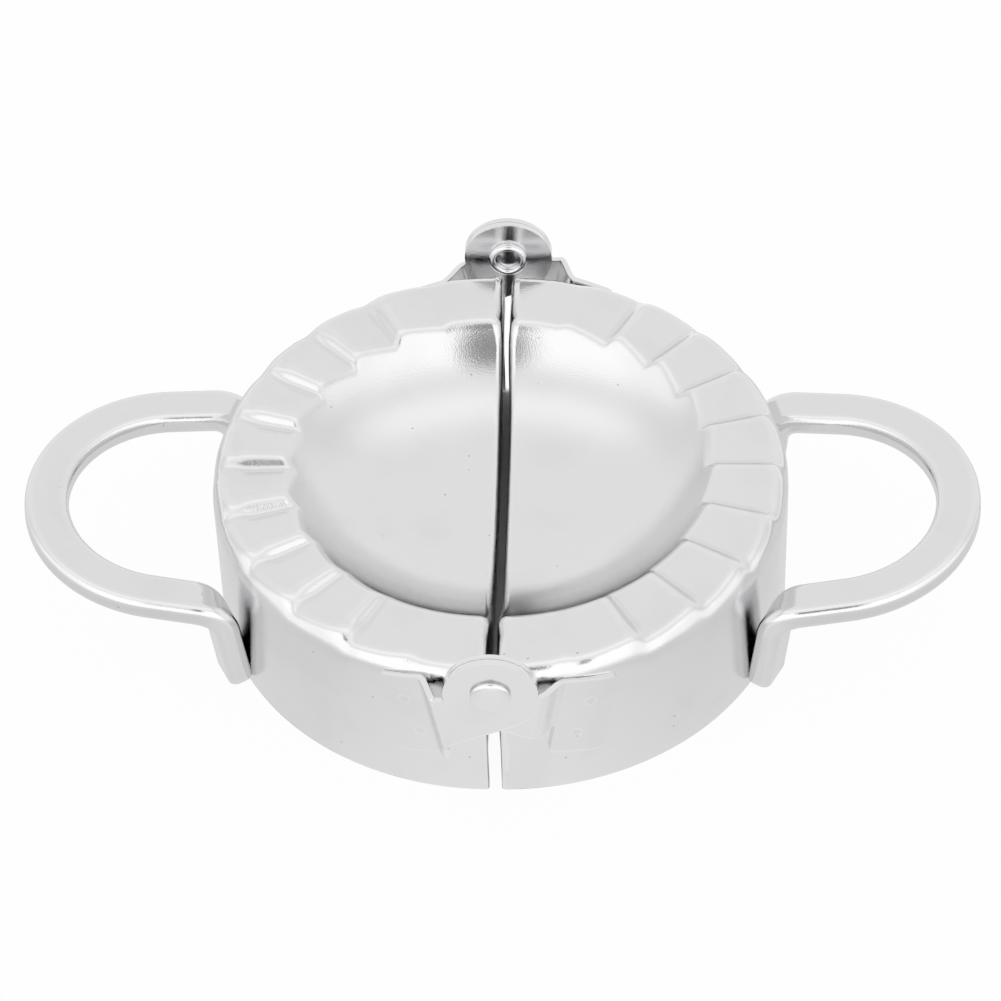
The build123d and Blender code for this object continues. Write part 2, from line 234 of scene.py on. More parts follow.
def shell_band(top, lip, climb):
    """The pressing's edge as rows that fall from the top's rim and lip over a quarter turn
    and then straight down to the foot, with the cells that stay open under the flange."""
    rim_seam = top[-1]
    lip_seam = np.concatenate([top[::-1, -1], top[1:, 0]])
    corner, notch_y = upright_corner()
    centre = np.array([half_gap, 0])
    rim_out = rim_seam[:, :2] - centre
    rim_edge = centre + rim_out * shell_r / np.linalg.norm(rim_out, axis=1)[:, None]
    lip_edge = lip_seam[:, :2] - [lip_r, 0]
    seam = np.concatenate([rim_seam, np.repeat(rim_seam[-1:], len(corner), 0), lip_seam,
                           np.repeat(rim_seam[:1], len(corner), 0), rim_seam[:1]])
    edge = np.concatenate([rim_edge, corner, lip_edge, corner[::-1] * [1, -1], rim_edge[:1]])

    reach = np.linalg.norm(edge - seam[:, :2], axis=1)
    radius = np.where(reach < lip_r, lip_r, reach)
    steep = np.ones(len(reach))
    steep[:len(rim_seam)] = shoulder_steep
    start = len(rim_seam) + len(corner)
    chord = slice(start, start + len(lip_seam))
    radius[chord] = np.concatenate([lip[::-1], lip[1:]])[:, 0]
    steep[chord] = np.concatenate([climb[::-1], climb[1:]])[:, 0]
    begun = np.arcsin(1 - reach / radius)
    turn = begun + (np.pi / 2 - begun) * arc_share
    out = (np.sin(turn) - np.sin(begun)) * radius / reach
    sunk = np.zeros(len(reach))
    sunk[:len(rim_seam)] = shoulder_fade * (rim_z - rim_seam[:, 2])
    fall = steep * radius * (np.cos(begun) - np.cos(turn))
    height = seam[:, 2] + smooth_step(0, settled_by, arc_share) * sunk - fall
    over = np.concatenate([seam[:, :2] + out[..., None] * (edge - seam[:, :2]),
                           height[..., None]], -1)
    low = over[-1, :, 2]
    height = np.concatenate([low + (flange_z - low) * wall_rows,
                             flange_z * foot_rows + 0 * low])
    wall = np.concatenate([np.broadcast_to(edge, (len(height),) + edge.shape),
                           height[..., None]], -1)
    band = np.concatenate([over, wall])

    slack = 1e-6
    cut_open = (edge[:, 0] < half_gap + slack) & (abs(edge[:, 1]) < notch_y + slack)
    open_cell = np.zeros((len(band) - 1, len(edge) - 1), bool)
    open_cell[-len(foot_rows):] = cut_open[:-1] & cut_open[1:]
    return band, open_cell


def bend_walls(points):
    """Moves the straight wall towards the other half: most in its middle, which bellies
    out, and below the rim towards its ends, which are pinched."""
    x, y, z = points.T
    near_wall = 1 - smooth_step(half_gap, half_gap + wall_reach, x)
    belly = wall_belly * near_wall * np.clip(1 - (y / belly_end)**2, 0, 1)
    pinched = smooth_step(*pinch_foot, z) * (1 - smooth_step(pinch_top, rim_z, z))
    pinch = wall_pinch * near_wall * pinched * smooth_step(*pinch_y, abs(y))
    return np.stack([x - (belly + pinch), y, z], -1)


def half_shell():
    """Outside of the right half: its top and its edge, two grids that share their seam."""
    top, lip, climb = shell_top()
    band, open_cell = shell_band(top, lip, climb)
    top_faces = grid_faces(*top.shape[:2])[:, ::-1]
    band_faces = grid_faces(*band.shape[:2], first=top[..., 0].size)[:, ::-1]
    points = np.concatenate([top.reshape(-1, 3), band.reshape(-1, 3)])
    return bend_walls(points), np.concatenate([top_faces, band_faces[~open_cell.ravel()]])


sharp_angle = np.radians(50)     # edges sharper than this are broken


def finish_sheet(piece, thickness, edge_round=0.0):
    """Gives a surface the sheet's thickness, inwards, and breaks the cut edges."""
    wall = piece.modifiers.new("sheet", "SOLIDIFY")
    wall.thickness = thickness * mm
    wall.offset = -1
    if edge_round:
        bevel = piece.modifiers.new("broken_edge", "BEVEL")
        bevel.width = edge_round * mm
        bevel.segments = 2
        bevel.limit_method = "ANGLE"
        bevel.angle_limit = sharp_angle
        piece.modifiers.new("flat_faces", "WEIGHTED_NORMAL").keep_sharp = True
    return piece


half_turn = np.array([-1, -1, 1])
shell_points, shell_faces = half_shell()
right_shell = mesh_piece("right_pressed_shell", shell_points, shell_faces)
left_shell = mesh_piece("left_pressed_shell", shell_points * half_turn, shell_faces)
for shell, side in ((right_shell, "right"), (left_shell, "left")):
    finish_sheet(shell, sheet_t)
    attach(shell, side + "_half")
    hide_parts(side + "_shell")


def add_node(tree, kind, inputs=(), **settings):
    """A node with its settings, and with its inputs set to values or fed by sockets."""
    node = tree.nodes.new(kind)
    for name, value in settings.items():
        setattr(node, name, value)
    for name, value in dict(inputs).items():
        if isinstance(value, bpy.types.NodeSocket):
            tree.links.new(value, node.inputs[name])
        else:
            node.inputs[name].default_value = value
    return node


def node_group(name, inputs, outputs):
    """A new node group with number sockets, what it is given and what it makes."""
    group = bpy.data.node_groups.new(name, "ShaderNodeTree")
    for socket, value in inputs.items():
        group.interface.new_socket(
            socket, in_out="INPUT", socket_type="NodeSocketFloat").default_value = value
    for socket in outputs:
        group.interface.new_socket(socket, in_out="OUTPUT", socket_type="NodeSocketFloat")
    given = group.nodes.new("NodeGroupInput").outputs
    return group, given, group.nodes.new("NodeGroupOutput").inputs


def object_place(tree):
    """The place on the piece, in metres."""
    return add_node(tree, "ShaderNodeTexCoord").outputs["Object"]


def parts(tree, vector):
    """The three parts of a vector."""
    return add_node(tree, "ShaderNodeSeparateXYZ", {"Vector": vector}).outputs


def object_noise(tree, scale, detail, stretch=(1, 1, 1), turn=(0, 0, 0)):
    """Noise on object coordinates, turned and stretched."""
    laid = add_node(tree, "ShaderNodeMapping", {"Vector": object_place(tree),
                                                "Rotation": turn, "Scale": stretch})
    return add_node(tree, "ShaderNodeTexNoise", {
        "Vector": laid.outputs["Vector"], "Scale": scale, "Detail": detail,
        "Roughness": 0.5}).outputs["Fac"]


def between(tree, value, low, high, start=0.0, end=1.0):
    """A number that runs smoothly from start, where the value is low, to end at high."""
    return add_node(tree, "ShaderNodeMapRange", {
        "Value": value, "From Min": low, "From Max": high, "To Min": start, "To Max": end},
        interpolation_type="SMOOTHSTEP").outputs["Result"]


def math(tree, operation, *values):
    """The result of a Math node."""
    return add_node(tree, "ShaderNodeMath", dict(enumerate(values)),
                    operation=operation).outputs["Value"]


def satin_grain_group():
    """Heights of the rolled sheet: its fine grain, and the slow waves that pressing
    leaves in it."""
    tree, given, made = node_group("satin_grain", {"Grain Size": 0.0002, "Wave Size": 0.008},
                                   ["Grain", "Waves"])
    grain = object_noise(tree, math(tree, "DIVIDE", 1, given["Grain Size"]), 3)
    waves = object_noise(tree, math(tree, "DIVIDE", 1, given["Wave Size"]), 1)
    tree.links.new(grain, made["Grain"])
    tree.links.new(waves, made["Waves"])
    return tree


hair_stretch = (420, 6500, 6500)         # hairlines are long along their first direction
hair_turns = [(0.3, 0.2, np.radians(degrees)) for degrees in (34, -58)]
hair_patches = 90.0      # patches of hairlines to the metre
pit_cells = 520.0        # cells to the metre, of which few hold a pit


def handling_marks_group():
    """Masks of what handling leaves: clouded patches, short hairlines in two directions,
    and small pits."""
    tree, given, made = node_group("handling_marks", {"Cloud Size": 0.012},
                                   ["Cloud", "Scratch", "Pit"])
    cloud = object_noise(tree, math(tree, "DIVIDE", 1, given["Cloud Size"]), 4)
    tree.links.new(between(tree, cloud, low=0.45, high=0.7), made["Cloud"])
    lines = []
    for turn in hair_turns:
        hair = object_noise(tree, 1, 0, hair_stretch, turn)
        lines.append(between(tree, hair, low=0.76, high=0.86))
    both = math(tree, "MAXIMUM", *lines)
    patches = between(tree, object_noise(tree, hair_patches, 2), low=0.52, high=0.66)
    tree.links.new(math(tree, "MULTIPLY", both, patches), made["Scratch"])
    cells = add_node(tree, "ShaderNodeTexVoronoi", {"Vector": object_place(tree),
                                                    "Scale": pit_cells}).outputs
    few = parts(tree, cells["Color"])["X"]
    near = between(tree, cells["Distance"], low=0.13, high=0.05)
    chosen = between(tree, few, low=0.9, high=0.94)
    tree.links.new(math(tree, "MULTIPLY", near, chosen), made["Pit"])
    return tree


def edge_wear_and_shade_group():
    """Masks of outside corners, which wear smoother and are lightened as a painted highlight,
    and of inside ones, which are darkened as painted shade.
    """
    tree, given, made = node_group("edge_wear_and_shade", {"Least Bend": 0.012, "Most Bend": 0.08},
                                   ["Worn Crest And Highlight", "Painted Hollow Shade"])
    bend = add_node(tree, "ShaderNodeAttribute", attribute_name="bend").outputs["Fac"]
    tree.links.new(between(tree, bend, given["Least Bend"], given["Most Bend"]), made["Worn Crest And Highlight"])
    dip = math(tree, "MULTIPLY", bend, -1)
    tree.links.new(between(tree, dip, given["Least Bend"], given["Most Bend"]), made["Painted Hollow Shade"])
    return tree


def scuff_and_gap_shade_group():
    """Mask of the straight walls, low in the narrow gap between the halves. There the sheet is
    made rougher, as scuffed, and is darkened as painted shade of the gap."""
    tree, given, made = node_group("scuff_and_gap_shade", {"Patchiness": 0.5}, ["Scuff And Gap Shade"])
    axis = parts(tree, object_place(tree))
    aside = math(tree, "ABSOLUTE", axis["X"])
    at_wall = between(tree, aside, (half_gap + 0.25) * mm, (half_gap + 0.1) * mm)
    below = between(tree, axis["Z"], (rim_z - 2) * mm, (rim_z - 3) * mm)
    blotch = between(tree, object_noise(tree, 260, 3, (1, 1, 0.3)), low=0.3, high=0.7)
    blotch = math(tree, "MULTIPLY_ADD", blotch, given["Patchiness"],
                  math(tree, "SUBTRACT", 1, given["Patchiness"]))
    tree.links.new(math(tree, "MULTIPLY", math(tree, "MULTIPLY", at_wall, below), blotch),
                   made["Scuff And Gap Shade"])
    return tree


scuff_and_gap_shade = scuff_and_gap_shade_group()
satin_grain = satin_grain_group()
handling_marks = handling_marks_group()
edge_wear_and_shade = edge_wear_and_shade_group()


# How far each mask at its full strength moves the steel's tone, and its roughness.
mark_tone = {"Cloud": -0.03, "Scratch": -0.04, "Pit": -0.35}
mark_roughness = {"Cloud": 0.04, "Scratch": 0.06}
# Crests are lightened, partly as worn metal and partly as a painted highlight. Inside corners
# are darkened as painted shade.
edge_highlight_and_shade_tone = {"Worn Crest And Highlight": 0.04, "Painted Hollow Shade": -0.05}
edge_roughness = {"Worn Crest And Highlight": -0.03}
# The gap mask darkens the straight walls between the halves: painted shade. Its roughness is
# scuffing.
gap_shade_tone = {"Scuff And Gap Shade": -0.6}
scuff_roughness = {"Scuff And Gap Shade": 0.3}


def moved(tree, value, masks, moves, share=1.0):
    """The value after each mask has moved it by that share of its own amount."""
    for mask, amount in moves.items():
        value = math(tree, "MULTIPLY_ADD", masks[mask], amount * share, value)
    return value


def steel(name, colour, roughness, grain_size, grain_depth, wave_size, wave_depth, marks,
          scuffed_and_shaded=False):
    """Bare stainless steel, with sizes in metres: its grain and waves are bumps, and clouds,
    hairlines, pits and worn corners change its colour and its roughness. Outside corners are
    also lightened as a painted highlight and inside ones darkened as painted shade. The walls
    in the gap between the halves are made rougher and darkened as painted shade."""
    material = bpy.data.materials.new(name)
    material.use_nodes = True
    tree = material.node_tree
    shader = tree.nodes["Principled BSDF"]
    shader.inputs["Metallic"].default_value = 1

    mark = add_node(tree, "ShaderNodeGroup", node_tree=handling_marks).outputs
    edge = add_node(tree, "ShaderNodeGroup", node_tree=edge_wear_and_shade).outputs
    tone = moved(tree, moved(tree, 1, mark, mark_tone, marks), edge, edge_highlight_and_shade_tone)
    rough = moved(tree, roughness, mark, mark_roughness, marks)
    rough = moved(tree, rough, edge, edge_roughness)
    # The walls in the gap are made rougher, and are darkened here as painted shade.
    if scuffed_and_shaded:
        scuff_and_shade = add_node(tree, "ShaderNodeGroup", node_tree=scuff_and_gap_shade).outputs
        tone = moved(tree, tone, scuff_and_shade, gap_shade_tone)
        rough = moved(tree, rough, scuff_and_shade, scuff_roughness)
    tinted = add_node(tree, "ShaderNodeVectorMath", {0: colour, "Scale": tone},
                      operation="SCALE")
    tree.links.new(tinted.outputs["Vector"], shader.inputs["Base Color"])
    tree.links.new(rough, shader.inputs["Roughness"])

    sheet = add_node(tree, "ShaderNodeGroup", node_tree=satin_grain)
    sheet.inputs["Grain Size"].default_value = grain_size
    sheet.inputs["Wave Size"].default_value = wave_size
    waves = add_node(tree, "ShaderNodeBump", {"Height": sheet.outputs["Waves"],
                                              "Distance": wave_depth})
    grain = add_node(tree, "ShaderNodeBump", {"Height": sheet.outputs["Grain"],
                                              "Distance": grain_depth,
                                              "Normal": waves.outputs["Normal"]})
    tree.links.new(grain.outputs["Normal"], shader.inputs["Normal"])
    return material


shell_steel = steel(
    "shell_steel", colour=(0.8, 0.8, 0.805), roughness=0.085, grain_size=0.00026,
    grain_depth=2.4e-5, wave_size=0.007, wave_depth=3e-5, marks=1.0, scuffed_and_shaded=True)
for shell in (right_shell, left_shell):
    shell.data.materials.append(shell_steel)


# --- Handles ------------------------------------------------------------------------
# Each handle is one flattened stainless rod, bowed at the outside and bent down into two
# legs, whose feet are dressed to the skirt and welded to it.
handle_low, handle_high = (np.array(corner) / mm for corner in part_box("right_handle"))
rod_w = 7.3
rod_t = 4.2
rod_corner = 1.5         # rounding of the rod's long edges
bow_r = 21.5             # to the middle of the rod
bow_z = 18.1
bow_tilt = np.radians(4.2)
leg_splay = 0.34         # how much further out than the bow a leg's foot stands
leg_lean = np.radians(6.5)
leg_bend_r = 5.0
leg_seat = 0.5           # how far the leg is let into the skirt
foot_round = np.array([2.0, 1.0])   # rounding of the foot, across and through the rod
flat_share = np.array([0.92, 0.85])      # of its flats that have points of their own


def bend_points(start, corner, end, radius, count):
    """Points of the arc of that radius that rounds the corner between two straight runs."""
    back = (start - corner) / np.linalg.norm(start - corner)
    ahead = (end - corner) / np.linalg.norm(end - corner)
    half = np.arccos(back @ ahead) / 2
    middle = corner + (back + ahead) / np.linalg.norm(back + ahead) * radius / np.sin(half)
    touch = corner + back * radius / np.tan(half)
    turn = np.linspace(0, np.pi - 2 * half, count)[:, None]
    return middle + np.cos(turn) * (touch - middle) - radius * np.sin(turn) * back


def rod_line():
    """Middle line of the right handle's front half, from the foot of its leg to the tip of
    the bow, with the direction across the rod at each point.

    The leg leans in the plane square to the skirt, the side touches the bow's circle, and
    the rod turns from square to the skirt at the leg to level in the bow."""
    foot_r = shell_r + rod_t / 2 / np.cos(leg_lean) - leg_seat
    leg_turn = np.arcsin((bow_r + leg_splay) / foot_r)
    outward = np.array([np.cos(leg_turn), -np.sin(leg_turn), 0])
    leg_side = np.array([np.sin(leg_turn), np.cos(leg_turn), 0])
    leg_way = np.array([0, 0, np.cos(leg_lean)]) + outward * np.sin(leg_lean)
    bow_out = np.array([np.cos(bow_tilt), 0, np.sin(bow_tilt)])
    bow_up = np.array([-np.sin(bow_tilt), 0, np.cos(bow_tilt)])
    bow_centre = (handle_high[0] - rod_w / 2) * np.array([1, 0, 0]) - bow_r * bow_out
    bow_centre = np.array([bow_centre[0], 0, bow_z])
    foot = np.array([half_gap, 0, handle_low[2]]) + outward * foot_r
    leg_top = foot + leg_way * ((bow_centre - foot) @ bow_up) / (leg_way @ bow_up)
    away = leg_top - bow_centre
    slant = (np.arctan2(-away[1], -away @ bow_out)
             - np.arcsin(bow_r / np.hypot(away @ bow_out, away[1])))
    turn = np.linspace(slant - np.pi / 2, 0, 31)[:, None]
    bow = bow_centre + bow_r * (np.cos(turn) * bow_out + np.sin(turn) * [0, 1, 0])
    bend = bend_points(foot, leg_top, bow[0], leg_bend_r, 17)
    share = np.linspace(0, 1, 10)[1:-1, None]
    round_turn = np.radians(np.linspace(0, 90, 6))[:, None]
    ends = foot + leg_way * foot_round[1] * (1 - np.cos(round_turn))
    leg = ends[-1] + share * (bend[0] - ends[-1])
    side = bend[-1] + share * (bow[0] - bend[-1])
    line = np.concatenate([foot[None], ends, leg, bend, side, bow])

    way = np.gradient(line[1:], axis=0)
    way[-1] = [0, 1, 0]
    way[:len(ends) + len(leg)] = leg_way
    way = np.concatenate([way[:1], way])
    run = np.arange(len(line))
    leg_share = 1 - smooth_step(1 + len(ends) + len(leg), len(line) - len(bow), run)
    level = np.cross(bow_up, way / np.linalg.norm(way, axis=1)[:, None])
    across = leg_share[:, None] * leg_side + (1 - leg_share[:, None]) * level
    return line, way, across, round_turn


def rod_handle():
    """The rod's section, a rectangle with round corners, carried along its middle line.
    The rings at each foot draw in by a quarter turn and close in a point."""
    line, way, across, round_turn = rod_line()
    way = way / np.linalg.norm(way, axis=1)[:, None]
    across = across - (across * way).sum(1)[:, None] * way
    across /= np.linalg.norm(across, axis=1)[:, None]
    through = np.cross(way, across)

    turn = np.radians(np.linspace(0, 90, 7))
    quarter = np.stack([np.cos(turn), np.sin(turn)], -1)
    half_size = np.array([rod_w, rod_t]) / 2
    flat = flat_share * (half_size - rod_corner)
    near_side = [half_size[0], flat[1]]
    near_top = [flat[0], half_size[1]]
    first = np.concatenate([[near_side], half_size - rod_corner + rod_corner * quarter,
                            [near_top]])
    half = np.concatenate([first, first[::-1] * [-1, 1]])
    outline = np.concatenate([half, -half, half[:1]])

    inset = np.zeros((len(line), 2))
    inset[1:1 + len(round_turn)] = foot_round * (1 - np.sin(round_turn))
    size = 1 - inset / half_size
    size[0] = 0
    shape = outline * size[:, None]
    ring = line[:, None] + shape[..., :1] * across[:, None] + shape[..., 1:] * through[:, None]
    rings = np.concatenate([ring, ring[-2::-1] * [1, -1, 1]])
    return rings.reshape(-1, 3), grid_faces(*rings.shape[:2])


handle_points, handle_faces = rod_handle()
right_handle = mesh_piece("right_rod_handle", handle_points, handle_faces)
left_handle = mesh_piece("left_rod_handle", handle_points * half_turn, handle_faces)
handle_steel = steel(
    "handle_steel", colour=(0.79, 0.79, 0.795), roughness=0.1, grain_size=0.00026,
    grain_depth=2e-5, wave_size=0.006, wave_depth=2e-5, marks=1.0)
for handle, side in ((right_handle, "right"), (left_handle, "left")):
    handle.data.materials.append(handle_steel)
    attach(handle, side + "_half")
    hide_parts(side + "_handle")


# --- Hinge plates -------------------------------------------------------------------
# Four plates stamped from 0.9 mm sheet, two at each end of the hinge line. A slanted tab
# is spot-welded to the skirt, a web jogs outwards, and a round ear laps its partner.
plate_t = 0.9
plate_edge = 0.12        # rounding of the stamped edges
ear_r = 7.5
ear_drop = 0.9           # the ear's lower half is set this much lower
ears_play = 0.08         # between the two ears of a hinge
ear_stand = 2.8          # between the skirt and the inner ear
inner_ear_y = shell_r + ear_stand
outer_ear_y = inner_ear_y + plate_t + ears_play
hinge_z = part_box("front_left_hinge_plate")[1][2] / mm - ear_r
tab_lean = np.radians(9.5)
tab_corner_r = 1.0
web_slope = np.radians(23)
web_top = -1.7           # the web's upper edge, from the hinge line
notch_r = 0.6            # rounding where that edge meets the ear
weld_at = 3.6            # from the tab's middle to each weld, along the tab
weld_aside = 0.6         # how far the two welds stand to either side of its middle line
weld_r = 0.9
weld_dent = 0.07
edge_points = 48         # points along the tab's edges,
web_points = 20          # the web's,
ear_points = 64          # and the ear's
plate_rows = 44          # rows from the web's foot to the plate's upper edge
tab_rows = 13            # rows of the tab below them


def rounded_line(corners, radii, count=7):
    """A line through the corners, each rounded by an arc of its radius."""
    corners = np.array(corners, float)
    parts = [corners[:1]]
    for before, corner, after, radius in zip(corners, corners[1:], corners[2:], radii):
        parts.append(bend_points(before, corner, after, radius, count))
    return np.concatenate(parts + [corners[-1:]])


def sample(line, count):
    """Points at equal steps of length along a line."""
    run = np.concatenate([[0], np.cumsum(np.linalg.norm(np.diff(line, axis=0), axis=1))])
    at = np.linspace(0, run[-1], count)
    return np.stack([np.interp(at, run, line[:, k]) for k in range(2)], -1)


def ear_arc(start, end, drop):
    """Points of the ear's round edge between two angles from the x axis."""
    turn = np.linspace(start, end, 48)
    return ear_r * np.stack([np.cos(turn), np.sin(turn)], -1) - [0, drop]


def hinge_plate(ear_y, tab_middle, tab_size, web_low, web_foot, bend):
    """Outer face of the front right plate, in two ruled grids that share a stretch of the
    tab's inner side: the tab, and the web with the ear.

    Both are ruled between the plate's lower and upper edge. The tab lies on the skirt, and
    a smooth step across the two bend places, slanted like the tab, leads to the ear's plane.
    Two shallow dents, each in a low ring, mark the welds."""
    across = np.array([np.cos(tab_lean), -np.sin(tab_lean)])
    along = np.array([np.sin(tab_lean), np.cos(tab_lean)])
    wide, tall = across * tab_size[0] / 2, along * tab_size[1] / 2
    tab_middle = np.array(tab_middle)
    out_low, out_high = tab_middle + wide - tall, tab_middle + wide + tall
    in_low, in_high = tab_middle - wide - tall, tab_middle - wide + tall
    foot = in_low + along * (web_foot - in_low[1]) / along[1]
    ease = along * tab_corner_r
    tab_low = rounded_line([out_low + ease, out_low, in_low, in_low + ease],
                           [tab_corner_r, tab_corner_r])
    tab_high = rounded_line([out_high - ease, out_high, in_high], [tab_corner_r])

    meet = np.arcsin(web_top / ear_r)
    notch = ear_r * np.array([np.cos(meet), np.sin(meet)])
    beside = notch + notch_r * np.array([-np.sin(meet), np.cos(meet)])
    web_high = rounded_line([in_high, notch, beside], [0.8 * notch_r])
    web_line = np.array([foot, web_low])
    tangent = ear_r * np.array([-np.sin(web_slope), -np.cos(web_slope)]) - [0, ear_drop]
    ear_low = np.concatenate([[web_low, tangent],
                              ear_arc(-np.pi / 2 - web_slope, -np.pi, ear_drop)[1:]])
    ear_high = np.concatenate([[beside], ear_arc(meet + notch_r / ear_r, np.pi, 0)[1:]])
    ear_low = np.concatenate([ear_low, ear_high[-1:]])

    foot_share = (foot - tab_low[-1]) @ along / ((in_high - tab_low[-1]) @ along)
    share = np.linspace(foot_share, 1, plate_rows)[:, None, None]
    below = np.linspace(0, foot_share, tab_rows + 1)[:-1, None, None]
    tab_share = np.concatenate([below, share])
    low, high = sample(tab_low, edge_points), sample(tab_high, edge_points)
    tab = low + tab_share * (high - low)
    low = np.concatenate([sample(web_line, web_points), sample(ear_low, ear_points)[1:]])
    high = np.concatenate([sample(web_high, web_points), sample(ear_high, ear_points)[1:]])
    web = low + (share - foot_share) / (1 - foot_share) * (high - low)

    grids = []
    for flat in (tab, web):
        x, z = flat[..., 0], flat[..., 1]
        skirt_y = np.sqrt((shell_r + plate_t)**2 - (x - half_gap)**2)
        slanted = x - (z - tab_middle[1]) * np.tan(tab_lean)
        on_skirt = smooth_step(bend[0], bend[1], slanted)
        y = skirt_y * on_skirt + (ear_y + plate_t) * (1 - on_skirt)
        for side in (-1, 1):
            spot = tab_middle + side * (weld_at * along + weld_aside * across)
            off = np.linalg.norm(flat - spot, axis=-1) / weld_r
            dip, ring = 1.4 * np.exp(-(off * 1.6)**2), np.exp(-((off - 1) * 4)**2)
            y = y - weld_dent * (dip - ring)
        grids.append(np.stack([x, -y, hinge_z + z], -1))
    tab_faces = grid_faces(*grids[0].shape[:2])
    web_faces = grid_faces(*grids[1].shape[:2], first=grids[0][..., 0].size)
    return (np.concatenate([grid.reshape(-1, 3) for grid in grids]),
            np.concatenate([tab_faces, web_faces]))


inner_plate = hinge_plate(
    inner_ear_y, tab_middle=(14.4, -11.4), tab_size=(8.6, 16.5), web_low=(5.9, -11.5),
    web_foot=-12.4, bend=(6.0, 10.2))
outer_plate = hinge_plate(
    outer_ear_y, tab_middle=(12.9, -10.6), tab_size=(7.9, 17.2), web_low=(6.6, -12.0),
    web_foot=-15.0, bend=(7.7, 10.2))
mirror_x = np.array([-1, 1, 1])
hinge_plates = {
    "front_left_hinge_plate": (outer_plate, mirror_x, "left_half"),
    "front_right_hinge_plate": (inner_plate, np.ones(3), "right_half"),
    "back_left_hinge_plate": (inner_plate, half_turn, "left_half"),
    "back_right_hinge_plate": (outer_plate, half_turn * mirror_x, "right_half"),
}
hinge_steel = steel(
    "hinge_steel", colour=(0.8, 0.8, 0.805), roughness=0.11, grain_size=0.00026,
    grain_depth=2e-5, wave_size=0.005, wave_depth=2e-5, marks=0.8)
for node, ((points, faces), way, body) in hinge_plates.items():
    if np.prod(way) > 0:
        faces = faces[:, ::-1]
    plate = mesh_piece(node.replace("hinge", "steel_hinge"), points * way, faces)
    finish_sheet(plate, plate_t, plate_edge)
    plate.data.materials.append(hinge_steel)
    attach(plate, body)
    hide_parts(node)


# --- Rivets -------------------------------------------------------------------------
# Semi-tubular steel rivets: a domed head on the outside, a shank through both ears, and a
# hollow end that is rolled outwards into a ring on the inside.
rivet_r = 2.5
head_r = 3.25
head_h = 1.3
head_lift = 0.4          # height of the head's edge over the ear
bore_r = 2.15
bore_end = 1.0           # how far the hollow reaches past the inner ear's face
bore_swell = 0.9         # how far its floor swells up in the middle
tail_r = 3.4
tail_h = 1.2
head_under = 0.15        # how much the head's radius is less underneath
head_seat = 0.1          # height over the ear where its underside meets the shank


def rivet(head_play):
    """Profile of the front rivet, from the middle of its head to the bottom of its bore,
    turned about its own axis."""
    head_y = outer_ear_y + plate_t + head_play
    tail_y = inner_ear_y + head_play
    rise = np.radians(np.linspace(0, 90, 20))[:, None]
    dome = np.concatenate([head_r * np.sin(rise),
                           head_y + head_lift + (head_h - head_lift) * np.cos(rise)**0.8], 1)
    roll = np.radians(np.linspace(90, 270, 15))[:, None]
    roll_r = (tail_r - bore_r) / 2
    ring = np.concatenate([tail_r - roll_r + roll_r * np.sin(roll),
                           tail_y - tail_h + roll_r + roll_r * np.cos(roll)], 1)
    inward = np.linspace(0, 1, 9)[:, None]
    bore_floor = np.concatenate([bore_r * (1 - inward),
                                 tail_y + bore_end - bore_swell * inward], 1)
    profile = np.concatenate([
        dome,
        [[head_r - head_under, head_y + 0.8 * head_lift], [rivet_r, head_y + head_seat],
         [rivet_r, head_y], [rivet_r, tail_y], [tail_r, tail_y]],
        ring, bore_floor,
    ])
    turn = np.radians(np.linspace(0, 360, 65))[:, None]
    radius, out = profile.T
    return np.stack([radius * np.cos(turn), -out + 0 * turn,
                     hinge_z + radius * np.sin(turn)], -1)


rivet_steel = steel(
    "rivet_steel", colour=(0.8, 0.8, 0.81), roughness=0.1, grain_size=0.00025,
    grain_depth=1e-5, wave_size=0.003, wave_depth=1e-5, marks=0.8)
for node, way, play in (("front_rivet", 1, 0), ("back_rivet", half_turn, ears_play)):
    surface = rivet(play) * way
    piece = mesh_piece(node.replace("rivet", "domed_rivet"), surface.reshape(-1, 3),
                       grid_faces(*surface.shape[:2]))
    piece.data.materials.append(rivet_steel)
    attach(piece, "left_half")
    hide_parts(node)


# --- Floor, light and camera ---------------------------------------------------------
# A plain white floor in a soft studio: pale walls, lighter bands in front and overhead,
# shaded sides, and a darker patch where the camera stands.
azimuth, elevation, roll = np.radians([3.11, 46.01, -2.0])
back = np.array([np.sin(azimuth) * np.cos(elevation), -np.cos(azimuth) * np.cos(elevation),
                 np.sin(elevation)])

wall_level = 0.905       # of the walls, beside and behind
front_axis = (0, 0.546, 0.838)       # the soft boxes and bands in front lie across it
front_stops = {              # their level by the cosine of the angle from that axis
    0.0: 1.22, 0.31: 1.22, 0.37: 1.15, 0.44: 0.98, 0.52: 0.94, 0.60: 0.98, 0.69: 1.08,
    0.79: 1.07, 0.9: 0.96, 1.0: 0.92}
front_reach = (0.4, 0.0)     # between these, the walls give way to the front
side_reach = (0.7, 0.92)     # between these, the sides are shaded
side_shade = 0.1
camera_level = 0.28
camera_from, camera_to = np.cos(np.radians([15, 8]))


